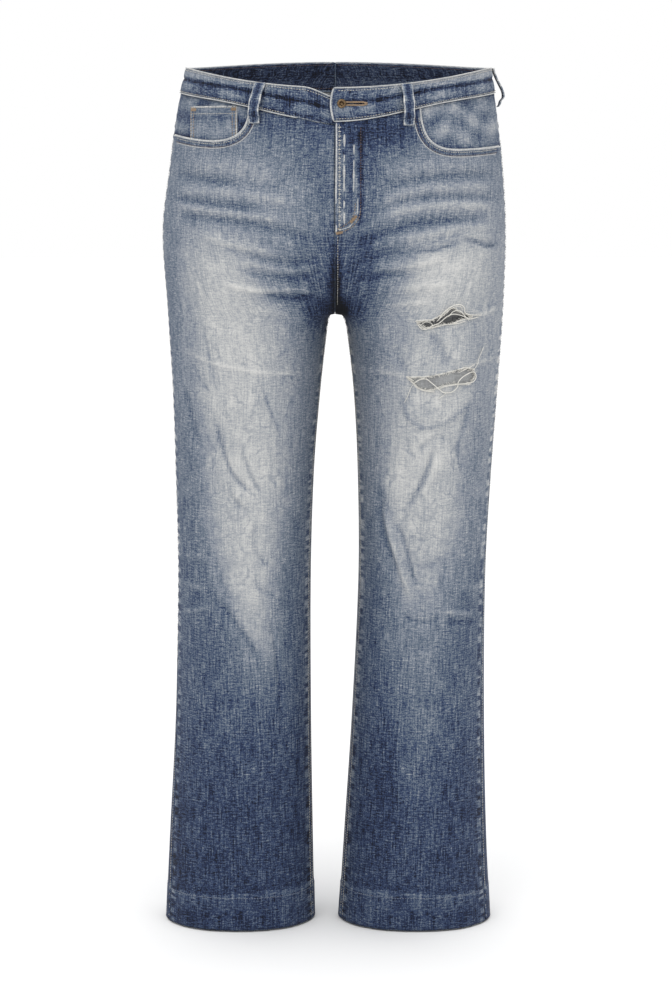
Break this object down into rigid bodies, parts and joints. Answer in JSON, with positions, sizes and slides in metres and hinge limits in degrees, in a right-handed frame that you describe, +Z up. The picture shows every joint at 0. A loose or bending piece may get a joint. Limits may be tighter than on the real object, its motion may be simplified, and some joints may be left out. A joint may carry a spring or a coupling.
{
  "type": "jeans",
  "caption": "Bootcut denim jeans with torn, faded thighs, filled out as if worn: waistband with belt loops, scooped front pockets, coin pocket, back yoke and open flared hems.",
  "frame": {"origin": "middle of the waist, level with the top of the waistband at the sides", "axes": "+Z up, the front faces -Y, +X is the wearer's left"},
  "size_m": [0.4356, 0.2753, 1.1031],
  "materials": {
    "denim_front": "worn indigo twill denim with pale weft showing through, faded pale down the thighs",
    "denim_back": "worn indigo twill denim with pale weft showing through",
    "denim_yoke": "worn indigo twill denim with pale weft showing through",
    "denim_waistband": "worn indigo twill denim with pale weft showing through, darker",
    "denim_loop": "worn indigo twill denim with pale weft showing through, edges worn pale",
    "denim_facing": "worn indigo twill denim with pale weft showing through",
    "denim_coin_pocket": "worn indigo twill denim with pale weft showing through",
    "denim_back_pocket": "worn indigo twill denim with pale weft showing through",
    "denim_inner": "unfaded dark indigo twill denim",
    "patch_cloth": "pale grey worn cotton twill",
    "button_metal": "antique brass"
  },
  "bodies": {
    "root": {"front_right": "denim_front", "front_left": "denim_front", "back_right": "denim_back", "back_left": "denim_back", "yoke_right": "denim_yoke", "yoke_left": "denim_yoke", "waistband_right": "denim_waistband", "waistband_left": "denim_waistband", "loop_front_right": "denim_loop", "loop_front_left": "denim_loop", "loop_side_right": "denim_loop", "loop_side_left": "denim_loop", "loop_back": "denim_loop", "pocket_facing_right": "denim_facing", "pocket_facing_left": "denim_facing", "coin_pocket": "denim_coin_pocket", "fly_shield": "denim_inner", "back_pocket_right": "denim_back_pocket", "back_pocket_left": "denim_back_pocket", "hem_right": "denim_inner", "hem_left": "denim_inner", "tear_patch": "patch_cloth", "button": "button_metal"}
  },
  "joints": []
}
